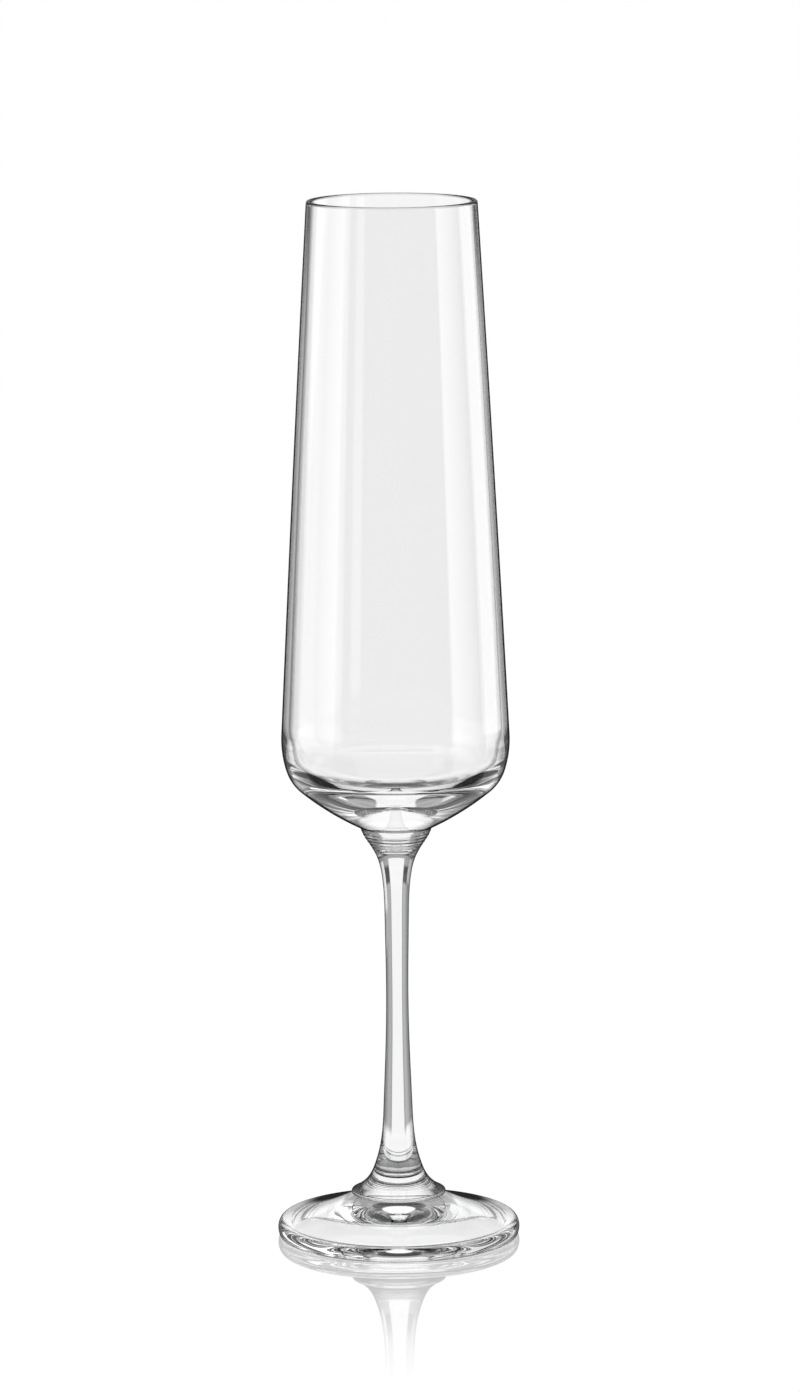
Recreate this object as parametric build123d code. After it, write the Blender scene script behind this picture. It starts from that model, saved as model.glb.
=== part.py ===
from build123d import *
import os

# Champagne flute: three pieces of clear glass fused hot. Millimetres, +Z up,
# origin at the centre of the foot's contact plane. Each piece is turned about
# the Z axis from an outline drawn in the XZ plane.

# overall sizes
total_height = 260.0
rim_outer_radius = 21.05
rim_bead_radius = 0.6
foot_outer_radius = 30.3

# joint of bowl and stem: a shallow cup, the same arc in both pieces
bowl_joint_radius = 9.0
bowl_joint_z = 104.0
bowl_joint_depth = 1.4

# joint of stem and foot: the same kind of shallow cup
foot_joint_radius = 11.2
foot_joint_z = 10.6
foot_joint_depth = 1.0

# outside of the bowl: slope at the joint, then each arc's radius and turn
belly_slope = 26.0
belly_radius, belly_turn = 75.0, 13.5
shoulder_radius, shoulder_turn = 10.5, 32.5
hip_radius, hip_turn = 25.0, 20.9

# inside of the bowl: floor at the axis, then each arc's radius and turn
floor_z = 112.2
floor_radius, floor_turn = 56.0, 21.5
heel_radius, heel_turn = 8.8, 56.5
flank_radius, flank_turn = 30.0, 14.5

# stem outline from the bowl down to the bead, radius and height
stem_points = [
    (8.2, 102.1),
    (6.2, 99.0),
    (4.7, 96.1),
    (3.6, 91.4),
    (3.0, 80.0),
    (2.79, 64.0),
    (3.0, 49.0),
    (3.6, 33.5),
    (4.35, 23.9),
    (5.65, 18.6),
    (8.0, 14.0),
]

# bead round the base of the stem: its widest point, and where the flare leaves it
bead_radius, bead_z = 11.8, 11.0
bead_top_radius, bead_top_z = 11.2, 11.5

# foot: top of the lip, upper and lower ends of its side, widest point, sag of the saddle
lip_top_radius, lip_top_z = 28.9, 4.35
lip_shoulder_radius, lip_shoulder_z = 30.05, 3.2
lip_widest_z = 2.0
lip_base_radius, lip_base_z = 30.1, 0.7
saddle_radius, saddle_z = 18.8, 7.1

# foot, underneath: contact ring, height of the hollow at the axis and part way out
contact_outer_radius = 29.4
contact_inner_radius = 26.6
hollow_height = 5.5
hollow_radius, hollow_z = 14.0, 4.0


def cup(radius, edge_z, depth):
    """Joint surface from the axis out to its edge, hollow side up."""
    sphere_radius = (radius**2 + depth**2) / (2 * depth)
    return RadiusArc((0, edge_z - depth), (radius, edge_z), -sphere_radius)


def bowl_outline():
    """Outside from the joint to the rim, bead, inside back to the axis."""
    rim_z = total_height - rim_bead_radius
    outer_rim = (rim_outer_radius, rim_z)
    rim_top = (rim_outer_radius - rim_bead_radius, total_height)
    inner_rim = (rim_outer_radius - 2 * rim_bead_radius, rim_z)
    joint_edge = (bowl_joint_radius, bowl_joint_z)
    start = Vector(1, 0).rotate(Axis.Z, belly_slope)

    cup(bowl_joint_radius, bowl_joint_z, bowl_joint_depth)
    belly = JernArc(joint_edge, start, belly_radius, belly_turn)
    shoulder = JernArc(belly @ 1, belly % 1, shoulder_radius, shoulder_turn)
    hip = JernArc(shoulder @ 1, shoulder % 1, hip_radius, hip_turn)
    TangentArc(hip @ 1, outer_rim, tangent=hip % 1)
    ThreePointArc(outer_rim, rim_top, inner_rim)

    floor = JernArc((0, floor_z), (1, 0), floor_radius, floor_turn)
    heel = JernArc(floor @ 1, floor % 1, heel_radius, heel_turn)
    flank = JernArc(heel @ 1, heel % 1, flank_radius, flank_turn)
    TangentArc(flank @ 1, inner_rim, tangent=flank % 1)
    Line((0, floor_z), (0, bowl_joint_z - bowl_joint_depth))


def stem_outline():
    """Cup under the bowl, flared sides, bead, cup over the foot."""
    top_edge = (bowl_joint_radius, bowl_joint_z)
    bead_top = (bead_top_radius, bead_top_z)
    bottom_edge = (foot_joint_radius, foot_joint_z)
    cup(bowl_joint_radius, bowl_joint_z, bowl_joint_depth)
    Spline([top_edge, *stem_points, bead_top])
    ThreePointArc(bead_top, (bead_radius, bead_z), bottom_edge)
    cup(foot_joint_radius, foot_joint_z, foot_joint_depth)
    Line((0, foot_joint_z - foot_joint_depth), (0, bowl_joint_z - bowl_joint_depth))


def foot_outline():
    """Cup under the stem, saddle, lip with rounded corners, contact ring, hollow underside."""
    joint_edge = (foot_joint_radius, foot_joint_z)
    lip_top = (lip_top_radius, lip_top_z)
    lip_shoulder = (lip_shoulder_radius, lip_shoulder_z)
    lip_base = (lip_base_radius, lip_base_z)
    outer_contact = (contact_outer_radius, 0)
    inner_contact = (contact_inner_radius, 0)
    cup(foot_joint_radius, foot_joint_z, foot_joint_depth)
    ThreePointArc(joint_edge, (saddle_radius, saddle_z), lip_top)
    lip_side = ThreePointArc(lip_base, (foot_outer_radius, lip_widest_z), lip_shoulder)
    TangentArc(lip_side @ 1, lip_top, tangent=lip_side % 1)
    TangentArc(outer_contact, lip_base, tangent=(1, 0))
    Line(outer_contact, inner_contact)
    ThreePointArc((0, hollow_height), (hollow_radius, hollow_z), inner_contact)
    Line((0, hollow_height), (0, foot_joint_z - foot_joint_depth))


def turned(outline):
    """Solid of revolution of an outline about the Z axis."""
    with BuildPart() as piece:
        with BuildSketch(Plane.XZ):
            with BuildLine():
                outline()
            make_face()
        revolve(axis=Axis.Z)
    return piece.part


os.makedirs("parts", exist_ok=True)
outlines = {"bowl": bowl_outline, "stem": stem_outline, "foot": foot_outline}
for name, outline in outlines.items():
    solid = turned(outline)
    solid.label = name
    export_step(solid, f"parts/{name}.step")
    size = solid.bounding_box().size
    print(f"{name}: {solid.volume / 1000:.2f} cm3, {size.X:.2f} x {size.Y:.2f} x {size.Z:.2f} mm")
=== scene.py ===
"""Champagne flute: three lathed pieces of clear glass on a glossy white table."""
import math

import bpy
import numpy as np
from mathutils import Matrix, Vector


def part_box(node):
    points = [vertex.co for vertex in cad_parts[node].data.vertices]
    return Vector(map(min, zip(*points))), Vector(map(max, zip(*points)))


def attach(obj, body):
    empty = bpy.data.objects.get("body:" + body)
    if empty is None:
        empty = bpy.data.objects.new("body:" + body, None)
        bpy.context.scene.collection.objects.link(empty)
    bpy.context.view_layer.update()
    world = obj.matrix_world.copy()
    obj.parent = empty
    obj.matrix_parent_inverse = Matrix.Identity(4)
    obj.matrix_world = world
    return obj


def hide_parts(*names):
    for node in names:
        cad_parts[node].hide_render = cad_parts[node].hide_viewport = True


MM = 0.001

# ---------------------------------------------------------------- sizes, in mm
RIM_OUTER_RADIUS = 21.05
RIM_BEAD_RADIUS = 0.6

BOWL_JOINT_RADIUS = 9.0
BOWL_JOINT_DEPTH = 1.4
FOOT_JOINT_RADIUS = 11.2
FOOT_JOINT_DEPTH = 1.0

BELLY_SLOPE = 26.0
BELLY_RADIUS, BELLY_TURN = 75.0, 13.5
SHOULDER_RADIUS, SHOULDER_TURN = 10.5, 32.5
HIP_RADIUS, HIP_TURN = 25.0, 20.9

FLOOR_Z = 112.2
FLOOR_RADIUS, FLOOR_TURN = 56.0, 21.5
HEEL_RADIUS, HEEL_TURN = 8.8, 56.5
FLANK_RADIUS, FLANK_TURN = 30.0, 14.5

STEM_POINTS = (
    (8.2, 102.1),
    (6.2, 99.0),
    (4.7, 96.1),
    (3.6, 91.4),
    (3.0, 80.0),
    (2.79, 64.0),
    (3.0, 49.0),
    (3.6, 33.5),
    (4.35, 23.9),
    (5.65, 18.6),
    (8.0, 14.0),
)
RING_COUNT = 6
RING_LOW_Z, RING_HIGH_Z = 98.6, 103.9
RING_DEPTH = 0.09

BEAD_RADIUS, BEAD_Z = 11.8, 11.0
BEAD_TOP_RADIUS, BEAD_TOP_Z = 11.2, 11.5

LIP_TOP_RADIUS, LIP_TOP_Z = 28.9, 4.35
LIP_SHOULDER_RADIUS, LIP_SHOULDER_Z = 30.05, 3.2
LIP_WIDEST_Z = 2.0
LIP_BASE_RADIUS, LIP_BASE_Z = 30.1, 0.7
SADDLE_RADIUS, SADDLE_Z = 18.8, 7.1
CONTACT_OUTER_RADIUS = 29.4
CONTACT_INNER_RADIUS = 26.6
UNDERSIDE_RISE = 5.5
HOLLOW_RADIUS, HOLLOW_Z = 14.0, 4.0

SEGMENTS = 256
STEP = 0.35
SHARP_ANGLE = 28.0

# ---------------------------------------------------------------- looks

GLASS_IOR = 1.52
POLISH = 0.0035
WAVE_SCALE = 60.0
WAVE_DEPTH = 0.0002
# Waves of each glass: how they are squeezed along X, Y and Z, and their strength.
BOWL_WAVES = ((1, 1, 0.15), 0.02)
STEM_WAVES = ((1, 1, 0.1), 0.02)
FOOT_WAVES = ((2, 2, 1), 0.08)
# Colour of each glass. The stem and the foot share one, which is a touch bluer.
BOWL_TINT = (0.99, 0.99, 0.99)
RIM_TINT = (0.985, 0.99, 0.99)
STEM_AND_FOOT_TINT = (0.985, 0.988, 0.992)
# Painted edge shade of each glass, a dark shader mixed in towards the outline in place of the dark edges
# that refraction of dark surroundings gives, as stops of (facing, share): facing is 0 face on and 1 edge
# on.
RIM_PAINTED_EDGE_SHADE = ((0.1, 0.1), (0.5, 0.45), (0.9, 0.75))
BOWL_PAINTED_EDGE_SHADE = ((0.68, 0.0), (0.78, 0.5), (0.86, 1.0))
STEM_PAINTED_EDGE_SHADE = ((0.25, 0.0), (0.5, 0.4), (0.8, 0.95))
FOOT_PAINTED_EDGE_SHADE = ((0.7, 0.0), (0.83, 0.45), (0.9, 1.0))
PAINTED_EDGE_SHADE_COLOUR = (0.03, 0.033, 0.037, 1)

# ---------------------------------------------------------------- outlines


def samples(length):
    """Number of steps along a stretch of outline of this length."""
    return max(4, math.ceil(length / STEP))


def arc(start, heading, radius, turn):
    """Points of an arc that leaves start at heading and turns left, and its last heading."""
    count = samples(radius * math.radians(turn))
    angles = np.radians(heading + turn * np.arange(count + 1) / count)
    first = angles[0]
    r = start[0] + radius * (np.sin(angles) - math.sin(first))
    z = start[1] + radius * (math.cos(first) - np.cos(angles))
    return list(zip(r, z)), heading + turn


def arc_to(start, heading, end):
    """Points of the arc that leaves start at heading and ends at end."""
    dr, dz = end[0] - start[0], end[1] - start[1]
    chord = math.hypot(dr, dz)
    half_turn = math.degrees(math.atan2(dz, dr)) - heading
    if abs(half_turn) < 0.01:
        count = samples(chord)
        return [(start[0] + dr * k / count, start[1] + dz * k / count) for k in range(count + 1)]
    radius = chord / 2 / math.sin(math.radians(half_turn))
    count = samples(chord)
    angles = np.radians(heading + 2 * half_turn * np.arange(count + 1) / count)
    r = start[0] + radius * (np.sin(angles) - math.sin(angles[0]))
    z = start[1] + radius * (math.cos(angles[0]) - np.cos(angles))
    return list(zip(r, z))


def arc_through(start, middle, end):
    """Points of the circle through three points, from the first to the last."""
    (ax, ay), (bx, by), (cx, cy) = start, middle, end
    d = 2 * (ax * (by - cy) + bx * (cy - ay) + cx * (ay - by))
    a2, b2, c2 = ax**2 + ay**2, bx**2 + by**2, cx**2 + cy**2
    ux = (a2 * (by - cy) + b2 * (cy - ay) + c2 * (ay - by)) / d
    uy = (a2 * (cx - bx) + b2 * (ax - cx) + c2 * (bx - ax)) / d
    radius = math.hypot(ax - ux, ay - uy)
    first = math.atan2(ay - uy, ax - ux)
    half = (math.atan2(by - uy, bx - ux) - first + math.pi) % (2 * math.pi) - math.pi
    rest = (math.atan2(cy - uy, cx - ux) - first - half + math.pi) % (2 * math.pi) - math.pi
    sweep = half + rest
    count = max(12, samples(radius * abs(sweep)))
    angles = first + sweep * np.arange(count + 1) / count
    return list(zip(ux + radius * np.cos(angles), uy + radius * np.sin(angles)))


def cup(radius, edge_z, depth):
    """Shallow dish from the axis out to its edge."""
    sphere = (radius**2 + depth**2) / (2 * depth)
    turn = math.degrees(math.asin(radius / sphere))
    return arc((0.0, edge_z - depth), 0.0, sphere, turn)[0]


def spline(points, spacing):
    """Natural cubic spline through points, by chord length."""
    p = np.array(points)
    t = np.concatenate([[0], np.cumsum(np.hypot(*np.diff(p, axis=0).T))])
    h = np.diff(t)
    n = len(p)
    system = np.eye(n)
    target = np.zeros((n, 2))
    for i in range(1, n - 1):
        system[i, i - 1 : i + 2] = h[i - 1], 2 * (h[i - 1] + h[i]), h[i]
        target[i] = 6 * ((p[i + 1] - p[i]) / h[i] - (p[i] - p[i - 1]) / h[i - 1])
    bend = np.linalg.solve(system, target)
    out = []
    for s in np.linspace(0, t[-1], math.ceil(t[-1] / spacing) + 1):
        i = min(max(int(np.searchsorted(t, s)) - 1, 0), n - 2)
        a, b = t[i + 1] - s, s - t[i]
        value = (bend[i] * a**3 + bend[i + 1] * b**3) / (6 * h[i])
        value += (p[i] / h[i] - bend[i] * h[i] / 6) * a + (p[i + 1] / h[i] - bend[i + 1] * h[i] / 6) * b
        out.append(tuple(value))
    return out


def bowl_outline(low, high):
    """Joint with the stem, outside, bead, inside down to the axis."""
    joint_edge = (BOWL_JOINT_RADIUS, low + BOWL_JOINT_DEPTH)
    joint = cup(*joint_edge, BOWL_JOINT_DEPTH)
    outer_rim = (RIM_OUTER_RADIUS, high - RIM_BEAD_RADIUS)
    rim_top = (RIM_OUTER_RADIUS - RIM_BEAD_RADIUS, high)
    inner_rim = (RIM_OUTER_RADIUS - 2 * RIM_BEAD_RADIUS, high - RIM_BEAD_RADIUS)
    belly, heading = arc(joint_edge, BELLY_SLOPE, BELLY_RADIUS, BELLY_TURN)
    shoulder, heading = arc(belly[-1], heading, SHOULDER_RADIUS, SHOULDER_TURN)
    hip, heading = arc(shoulder[-1], heading, HIP_RADIUS, HIP_TURN)
    wall = arc_to(hip[-1], heading, outer_rim)
    bead = arc_through(outer_rim, rim_top, inner_rim)
    floor, heading = arc((0.0, FLOOR_Z), 0.0, FLOOR_RADIUS, FLOOR_TURN)
    heel, heading = arc(floor[-1], heading, HEEL_RADIUS, HEEL_TURN)
    flank, heading = arc(heel[-1], heading, FLANK_RADIUS, FLANK_TURN)
    inner_wall = arc_to(flank[-1], heading, inner_rim)
    inside = joined(floor, heel, flank, inner_wall)[::-1]
    before_bead = joined(joint, belly, shoulder, hip, wall)
    bead_rows = range(len(before_bead) - 1, len(before_bead) + len(bead) - 2)
    return joined(before_bead, bead, inside), range(len(joint) - 1), bead_rows


def ring_ripple(z):
    """Depth of the tooling rings at a height on the stem's upper flare."""
    if not RING_LOW_Z < z < RING_HIGH_Z:
        return 0.0
    phase = (z - RING_LOW_Z) / (RING_HIGH_Z - RING_LOW_Z)
    return RING_DEPTH * math.sin(math.pi * phase) * (1 - math.cos(2 * math.pi * RING_COUNT * phase)) / 2


def stem_outline(low, high):
    """Joint with the foot, sides with tooling rings, joint with the bowl."""
    bottom_edge = (FOOT_JOINT_RADIUS, low + FOOT_JOINT_DEPTH)
    top_edge = (BOWL_JOINT_RADIUS, high)
    bottom = cup(*bottom_edge, FOOT_JOINT_DEPTH)
    bead_top = (BEAD_TOP_RADIUS, BEAD_TOP_Z)
    bead = arc_through(bottom_edge, (BEAD_RADIUS, BEAD_Z), bead_top)
    side = spline((bead_top, *STEM_POINTS[::-1], top_edge), STEP / 3)
    side = [(r - ring_ripple(z), z) for r, z in side]
    top = cup(*top_edge, BOWL_JOINT_DEPTH)[::-1]
    return joined(bottom, bead, side, top), len(bottom), len(top)


def foot_outline(low, high):
    """Hollow underside, contact ring, lip, saddle, joint with the stem."""
    inner_contact = (CONTACT_INNER_RADIUS, low)
    outer_contact = (CONTACT_OUTER_RADIUS, low)
    lip_top = (LIP_TOP_RADIUS, LIP_TOP_Z)
    lip_shoulder = (LIP_SHOULDER_RADIUS, LIP_SHOULDER_Z)
    lip_base = (LIP_BASE_RADIUS, LIP_BASE_Z)
    joint_edge = (FOOT_JOINT_RADIUS, high)
    widest = (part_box("foot")[1][0] / MM, LIP_WIDEST_Z)
    underside = arc_through((0.0, UNDERSIDE_RISE), (HOLLOW_RADIUS, HOLLOW_Z), inner_contact)
    ring = [inner_contact, outer_contact]
    lower_corner = arc_to(outer_contact, 0.0, lip_base)
    side = arc_through(lip_base, widest, lip_shoulder)
    rise, run = side[-1][1] - side[-2][1], side[-1][0] - side[-2][0]
    upper_corner = arc_to(lip_shoulder, math.degrees(math.atan2(rise, run)), lip_top)
    saddle = arc_through(lip_top, (SADDLE_RADIUS, SADDLE_Z), joint_edge)
    joint = cup(*joint_edge, FOOT_JOINT_DEPTH)[::-1]
    return joined(underside, ring, lower_corner, side, upper_corner, saddle, joint), len(joint)


def joined(*runs):
    """One list of points from runs that share their end points."""
    points = list(runs[0])
    for run in runs[1:]:
        same = math.dist(points[-1], run[0]) < 1e-6
        points.extend(run[1:] if same else run)
    return points


# ---------------------------------------------------------------- pieces


def lathe(name, outline, glass, zones):
    """Closed mesh turned about Z; zones are a material and the rows of the outline that have it."""
    slot_of_row = {row: slot for slot, (_, rows) in enumerate(zones, 1) for row in rows}
    rings = outline[1:-1]
    angles = 2 * math.pi * np.arange(SEGMENTS) / SEGMENTS
    r, z = np.array(rings).T * MM
    ring_points = np.stack(
        [np.outer(r, np.cos(angles)), np.outer(r, np.sin(angles)), np.outer(z, np.ones(SEGMENTS))], axis=-1
    ).reshape(-1, 3)
    first_pole = (0.0, 0.0, outline[0][1] * MM)
    last_pole = (0.0, 0.0, outline[-1][1] * MM)
    verts = [*map(tuple, ring_points), first_pole, last_pole]
    south, north = len(verts) - 2, len(verts) - 1
    faces, slots = [], []
    for k in range(SEGMENTS):
        faces.append((south, (k + 1) % SEGMENTS, k))
        slots.append(slot_of_row.get(0, 0))
    for row in range(len(rings) - 1):
        low, high = row * SEGMENTS, (row + 1) * SEGMENTS
        for k in range(SEGMENTS):
            n = (k + 1) % SEGMENTS
            faces.append((low + k, low + n, high + n, high + k))
            slots.append(slot_of_row.get(row + 1, 0))
    last = (len(rings) - 1) * SEGMENTS
    for k in range(SEGMENTS):
        faces.append((last + k, last + (k + 1) % SEGMENTS, north))
        slots.append(slot_of_row.get(len(rings), 0))
    mesh = bpy.data.meshes.new(name)
    mesh.from_pydata(verts, [], faces)
    for material in (glass, *(zone[0] for zone in zones)):
        mesh.materials.append(material)
    mesh.polygons.foreach_set("material_index", np.array(slots, dtype=np.int32))
    mesh.polygons.foreach_set("use_smooth", np.ones(len(faces), dtype=bool))
    mesh.update()
    mesh.set_sharp_from_angle(angle=math.radians(SHARP_ANGLE))
    piece = bpy.data.objects.new(name, mesh)
    bpy.context.scene.collection.objects.link(piece)
    return piece


# ---------------------------------------------------------------- materials


def glass_material(name, tint, waves, painted_shade_stops):
    """Clear glass with faint waviness, a barely varying polish and painted shade at the outline, a dark
    shader mixed in edge on.
    """
    material = bpy.data.materials.new(name)
    material.use_nodes = True
    nodes, links = material.node_tree.nodes, material.node_tree.links
    clear = nodes["Principled BSDF"]
    clear.inputs["Base Color"].default_value = (*tint, 1)
    clear.inputs["Transmission Weight"].default_value = 1.0
    clear.inputs["IOR"].default_value = GLASS_IOR
    place = nodes.new("ShaderNodeTexCoord")
    squeeze, strength = waves
    stretch = nodes.new("ShaderNodeMapping")
    stretch.inputs["Scale"].default_value = squeeze
    wave = nodes.new("ShaderNodeTexNoise")
    wave.inputs["Scale"].default_value = WAVE_SCALE
    wave.inputs["Detail"].default_value = 1.0
    bump = nodes.new("ShaderNodeBump")
    bump.inputs["Strength"].default_value = strength
    bump.inputs["Distance"].default_value = WAVE_DEPTH
    polish = nodes.new("ShaderNodeMapRange")
    polish.inputs["To Max"].default_value = POLISH
    links.new(place.outputs["Object"], stretch.inputs["Vector"])
    links.new(stretch.outputs["Vector"], wave.inputs["Vector"])
    links.new(wave.outputs["Fac"], bump.inputs["Height"])
    links.new(bump.outputs["Normal"], clear.inputs["Normal"])
    links.new(wave.outputs["Fac"], polish.inputs["Value"])
    links.new(polish.outputs["Result"], clear.inputs["Roughness"])

    # Painted shade: a near-black shader mixed in by facing darkens the outline, where clear glass would
    # show dark surroundings.
    slant = nodes.new("ShaderNodeLayerWeight")
    edge = nodes.new("ShaderNodeValToRGB")
    edge.color_ramp.interpolation = "EASE"
    edge.color_ramp.elements.new(painted_shade_stops[1][0])
    for stop, (facing, share) in zip(edge.color_ramp.elements, painted_shade_stops):
        stop.position = facing
        stop.color = (share, share, share, 1)
    painted_edge_shade = nodes.new("ShaderNodeBsdfPrincipled")
    painted_edge_shade.inputs["Base Color"].default_value = PAINTED_EDGE_SHADE_COLOUR
    painted_edge_shade.inputs["Specular IOR Level"].default_value = 0.0
    mix = nodes.new("ShaderNodeMixShader")
    links.new(slant.outputs["Facing"], edge.inputs["Fac"])
    links.new(edge.outputs["Color"], mix.inputs["Fac"])
    links.new(clear.outputs["BSDF"], mix.inputs[1])
    links.new(painted_edge_shade.outputs["BSDF"], mix.inputs[2])
    links.new(mix.outputs["Shader"], nodes["Material Output"].inputs["Surface"])
    return material


def fused_material():
    """Where two pieces are fused the glass is one, so light passes straight through."""
    material = bpy.data.materials.new("fused_joint")
    material.use_nodes = True
    nodes, links = material.node_tree.nodes, material.node_tree.links
    nodes.clear()
    clear = nodes.new("ShaderNodeBsdfTransparent")
    output = nodes.new("ShaderNodeOutputMaterial")
    links.new(clear.outputs["BSDF"], output.inputs["Surface"])
    return material


# ---------------------------------------------------------------- studio


class Graph:
    """Short calls for building a tree of math nodes."""

    def __init__(self, tree):
        self.tree = tree

    def put(self, socket, value):
        if isinstance(value, bpy.types.NodeSocket):
            self.tree.links.new(value, socket)
        else:
            socket.default_value = value

    def math(self, operation, *values):
        node = self.tree.nodes.new("ShaderNodeMath")
        node.operation = operation
        for socket, value in zip(node.inputs, values):
            self.put(socket, value)
        return node.outputs["Value"]

    def inside(self, distance, limit, edge):
        """1 where distance is under limit, easing to 0 across edge."""
        node = self.tree.nodes.new("ShaderNodeMapRange")
        node.interpolation_type = "SMOOTHSTEP"
        self.put(node.inputs["Value"], distance)
        node.inputs["From Min"].default_value = limit + edge / 2
        node.inputs["From Max"].default_value = limit - edge / 2
        return node.outputs["Result"]

    def ramp(self, turn, half_width, first, last):
        """Straight change from the first value to the last across a card."""
        if first == last:
            return first
        node = self.tree.nodes.new("ShaderNodeMapRange")
        self.put(node.inputs["Value"], turn)
        node.inputs["From Min"].default_value = -half_width
        node.inputs["From Max"].default_value = half_width
        node.inputs["To Min"].default_value = first
        node.inputs["To Max"].default_value = last
        return node.outputs["Result"]


# Light cards round the glass, bounded in degrees: bearing 0 is behind the glass and 90 on its
# left, height 0 is level. Each row has a name, first and last bearing, lowest and highest
# height, softness of the edge, and radiance at the first and at the last bearing.
CARDS = (
    ("backdrop", -19, 19, -26, 22, 4, 1.0, 1.0),
    ("left_card", 61, 115, -9.2, 24, 2, 1.15, 1.15),
    ("left_wing", 36, 63, -4, 26, 6, 0.8, 0.8),
    ("left_dim_card", 20, 115, -28, -4, 2, 0.45, 0.45),
    ("right_card", -118, -76, -28, 24, 3, 1.4, 0.0),
    ("right_edge", -76, -62, -9.2, 24, 2, 1.4, 1.4),
    ("right_wing", -63, -38, -10.5, 19.5, 3, 1.4, 1.4),
    ("right_dim_card", -76, -20, -28, -4, 2, 0.45, 0.45),
    ("rear_card", -141, -129, -22.5, -10.5, 3, 1.0, 1.0),
    ("low_card", 23, 67, -37, -19, 4, 1.0, 1.0),
    ("upper_ring", -181, 181, 7, 33, 8, 0.4, 0.4),
    ("table_behind", -70, 70, -80, -20, 8, 1.0, 1.0),
    ("table_bounce", -181, 181, -98, -22, 12, 0.3, 0.3),
    ("overhead", -181, 181, 50, 130, 6, 1.2, 1.2),
)
SURROUND = 0.07

TABLE_HALF_SIDE = 1.6
TABLE_GLOW = 1.01
TABLE_POLISH = 0.03
# The table mirrors the glass by this share up to one distance, and not at all past the other.
GLOSS, GLOSS_NEAR, GLOSS_FAR = 0.5, 0.03, 0.15

CAMERA_DISTANCE, CAMERA_ASIDE, CAMERA_HEIGHT = 1.5184, 0.0012, 0.3955
CAMERA_TILT, CAMERA_ROLL = 9.664, -0.395
FOCAL_LENGTH, SENSOR_WIDTH = 160.7, 36


def studio():
    """World light made of cards; the camera and the table's mirror rays see plain white."""
    world = bpy.data.worlds.new("studio")
    bpy.context.scene.world = world
    world.use_nodes = True
    tree = world.node_tree
    graph = Graph(tree)
    place = tree.nodes.new("ShaderNodeTexCoord")
    split = tree.nodes.new("ShaderNodeSeparateXYZ")
    tree.links.new(place.outputs["Generated"], split.inputs["Vector"])
    left = graph.math("MULTIPLY", split.outputs["X"], -1)
    bearing = graph.math("DEGREES", graph.math("ARCTAN2", left, split.outputs["Y"]))
    height = graph.math("DEGREES", graph.math("ARCSINE", split.outputs["Z"]))
    radiance = SURROUND
    for _, first, last, low, high, edge, first_radiance, last_radiance in CARDS:
        half_width, half_height = (last - first) / 2, (high - low) / 2
        turn = graph.math("WRAP", graph.math("SUBTRACT", bearing, (first + last) / 2), 180, -180)
        across = graph.inside(graph.math("ABSOLUTE", turn), half_width, edge)
        rise = graph.math("ABSOLUTE", graph.math("SUBTRACT", height, (low + high) / 2))
        shape = graph.math("MULTIPLY", across, graph.inside(rise, half_height, edge))
        strength = graph.ramp(turn, half_width, first_radiance, last_radiance)
        radiance = graph.math("MAXIMUM", radiance, graph.math("MULTIPLY", shape, strength))
    lit = tree.nodes["Background"]
    tree.links.new(radiance, lit.inputs["Strength"])
    lit.inputs["Color"].default_value = (1, 1, 1, 1)
    white = tree.nodes.new("ShaderNodeBackground")
    white.inputs["Color"].default_value = (1, 1, 1, 1)
    path = tree.nodes.new("ShaderNodeLightPath")
    mix = tree.nodes.new("ShaderNodeMixShader")
    # A glossy ray that is not singular comes off the table: the glass sends singular ones.
    off_table = graph.math("SUBTRACT", path.outputs["Is Glossy Ray"], path.outputs["Is Singular Ray"])
    plain = graph.math("MAXIMUM", path.outputs["Is Camera Ray"], off_table)
    tree.links.new(plain, mix.inputs["Fac"])
    tree.links.new(lit.outputs["Background"], mix.inputs[1])
    tree.links.new(white.outputs["Background"], mix.inputs[2])
    tree.links.new(mix.outputs["Shader"], tree.nodes["World Output"].inputs["Surface"])


def table_material():
    """White that glows evenly, and mirrors what stands near the middle; only the camera sees it."""
    material = bpy.data.materials.new("glossy_white_table")
    material.use_nodes = True
    nodes, links = material.node_tree.nodes, material.node_tree.links
    nodes.clear()
    white = nodes.new("ShaderNodeEmission")
    white.inputs["Strength"].default_value = TABLE_GLOW
    gloss = nodes.new("ShaderNodeBsdfGlossy")
    gloss.inputs["Color"].default_value = (1, 1, 1, 1)
    gloss.inputs["Roughness"].default_value = TABLE_POLISH
    place = nodes.new("ShaderNodeTexCoord")
    distance = nodes.new("ShaderNodeVectorMath")
    distance.operation = "LENGTH"
    fade = nodes.new("ShaderNodeMapRange")
    fade.interpolation_type = "SMOOTHSTEP"
    fade.inputs["From Min"].default_value = GLOSS_FAR
    fade.inputs["From Max"].default_value = GLOSS_NEAR
    fade.inputs["To Max"].default_value = GLOSS
    surface = nodes.new("ShaderNodeMixShader")
    clear = nodes.new("ShaderNodeBsdfTransparent")
    path = nodes.new("ShaderNodeLightPath")
    shown = nodes.new("ShaderNodeMixShader")
    output = nodes.new("ShaderNodeOutputMaterial")
    links.new(place.outputs["Object"], distance.inputs[0])
    links.new(distance.outputs["Value"], fade.inputs["Value"])
    links.new(fade.outputs["Result"], surface.inputs["Fac"])
    links.new(white.outputs["Emission"], surface.inputs[1])
    links.new(gloss.outputs["BSDF"], surface.inputs[2])
    links.new(path.outputs["Is Camera Ray"], shown.inputs["Fac"])
    links.new(clear.outputs["BSDF"], shown.inputs[1])
    links.new(surface.outputs["Shader"], shown.inputs[2])
    links.new(shown.outputs["Shader"], output.inputs["Surface"])
    return material


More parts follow.
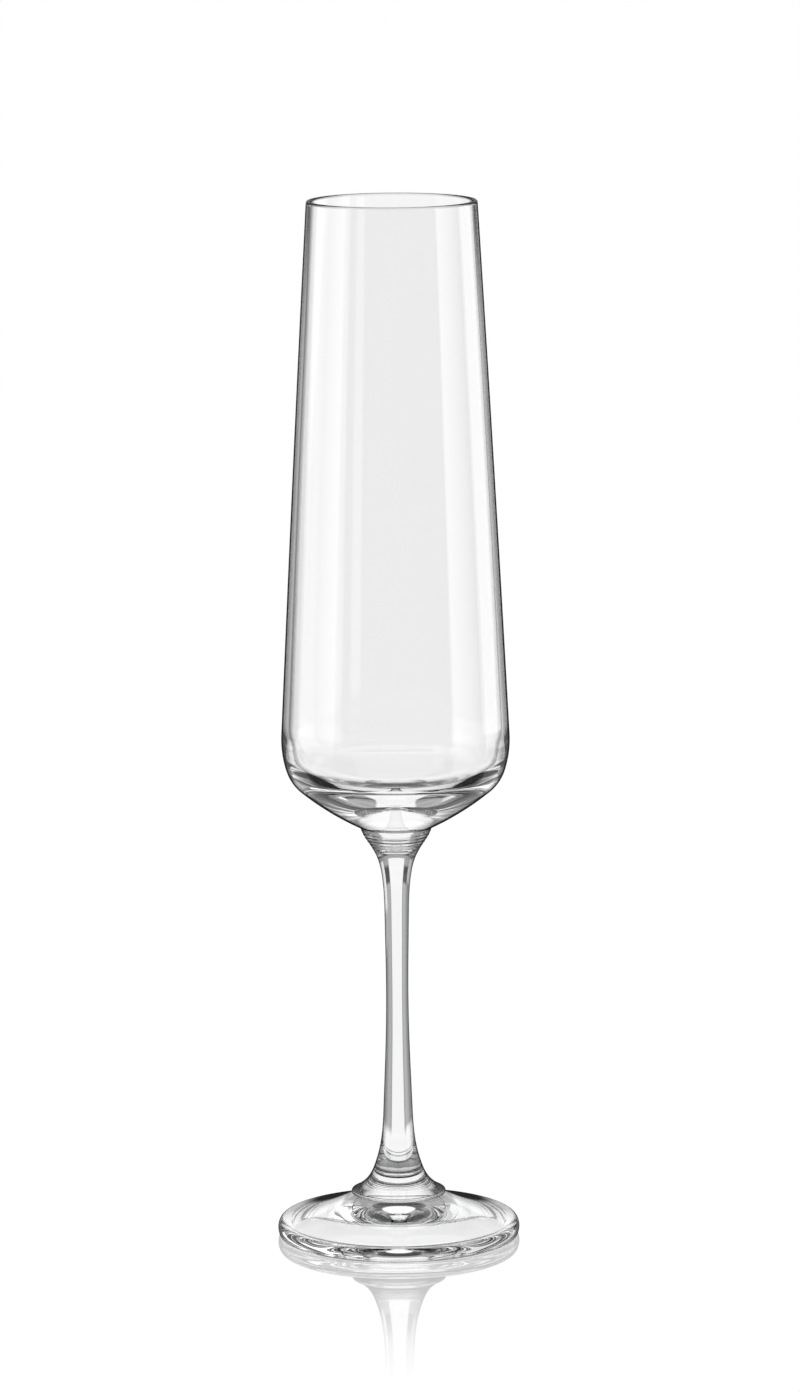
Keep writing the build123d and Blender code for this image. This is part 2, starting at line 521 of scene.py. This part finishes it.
def table(half_side):
    """Square table top at the height of the glass's foot."""
    mesh = bpy.data.meshes.new("table")
    corners = [(-half_side, -half_side, 0), (half_side, -half_side, 0)]
    corners += [(half_side, half_side, 0), (-half_side, half_side, 0)]
    mesh.from_pydata(corners, [], [(0, 1, 2, 3)])
    mesh.materials.append(table_material())
    top = bpy.data.objects.new("table", mesh)
    bpy.context.scene.collection.objects.link(top)


def camera():
    """Long lens a little above the rim, looking slightly down."""
    data = bpy.data.cameras.new("camera")
    data.lens = FOCAL_LENGTH
    data.sensor_width = SENSOR_WIDTH
    data.clip_end = 30
    view = bpy.data.objects.new("camera", data)
    view.location = (CAMERA_ASIDE, -CAMERA_DISTANCE, CAMERA_HEIGHT)
    view.rotation_mode = "YXZ"
    view.rotation_euler = (math.radians(90 - CAMERA_TILT), 0, 0)
    view.rotation_euler.rotate_axis("Z", math.radians(CAMERA_ROLL))
    bpy.context.scene.collection.objects.link(view)
    bpy.context.scene.camera = view


def height_range(node):
    """Lowest and highest z of a CAD piece, in mm."""
    low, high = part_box(node)
    return low[2] / MM, high[2] / MM


# ---------------------------------------------------------------- scene

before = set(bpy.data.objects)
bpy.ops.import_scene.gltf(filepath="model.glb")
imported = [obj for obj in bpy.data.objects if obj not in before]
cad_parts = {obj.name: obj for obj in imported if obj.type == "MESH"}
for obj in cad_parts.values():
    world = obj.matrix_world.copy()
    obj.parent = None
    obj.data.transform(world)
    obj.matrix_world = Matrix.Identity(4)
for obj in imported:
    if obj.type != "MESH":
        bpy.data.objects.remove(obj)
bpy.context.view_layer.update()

fused = fused_material()
bowl_glass = glass_material("bowl_glass", BOWL_TINT, BOWL_WAVES, BOWL_PAINTED_EDGE_SHADE)
rim_glass = glass_material("rim_glass", RIM_TINT, BOWL_WAVES, RIM_PAINTED_EDGE_SHADE)
stem_glass = glass_material("stem_glass", STEM_AND_FOOT_TINT, STEM_WAVES, STEM_PAINTED_EDGE_SHADE)
foot_glass = glass_material("foot_glass", STEM_AND_FOOT_TINT, FOOT_WAVES, FOOT_PAINTED_EDGE_SHADE)

outline, joint_rows, bead_rows = bowl_outline(*height_range("bowl"))
bowl = lathe("flute_bowl", outline, bowl_glass, [(fused, joint_rows), (rim_glass, bead_rows)])

outline, bottom_rows, top_rows = stem_outline(*height_range("stem"))
rows = len(outline) - 1
stem_joints = [*range(bottom_rows - 1), *range(rows - top_rows + 1, rows)]
stem = lathe("flute_stem", outline, stem_glass, [(fused, stem_joints)])

outline, joint_rows = foot_outline(*height_range("foot"))
rows = len(outline) - 1
foot = lathe("flute_foot", outline, foot_glass, [(fused, range(rows - joint_rows + 1, rows))])

for piece, node in ((bowl, "bowl"), (stem, "stem"), (foot, "foot")):
    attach(piece, "root")
    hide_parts(node)

studio()
table(TABLE_HALF_SIDE)
camera()

scene = bpy.context.scene
scene.view_settings.view_transform = "Standard"
scene.cycles.max_bounces = 32
scene.cycles.transmission_bounces = 32
scene.cycles.glossy_bounces = 16
scene.cycles.blur_glossy = 0
scene.cycles.transparent_max_bounces = 32
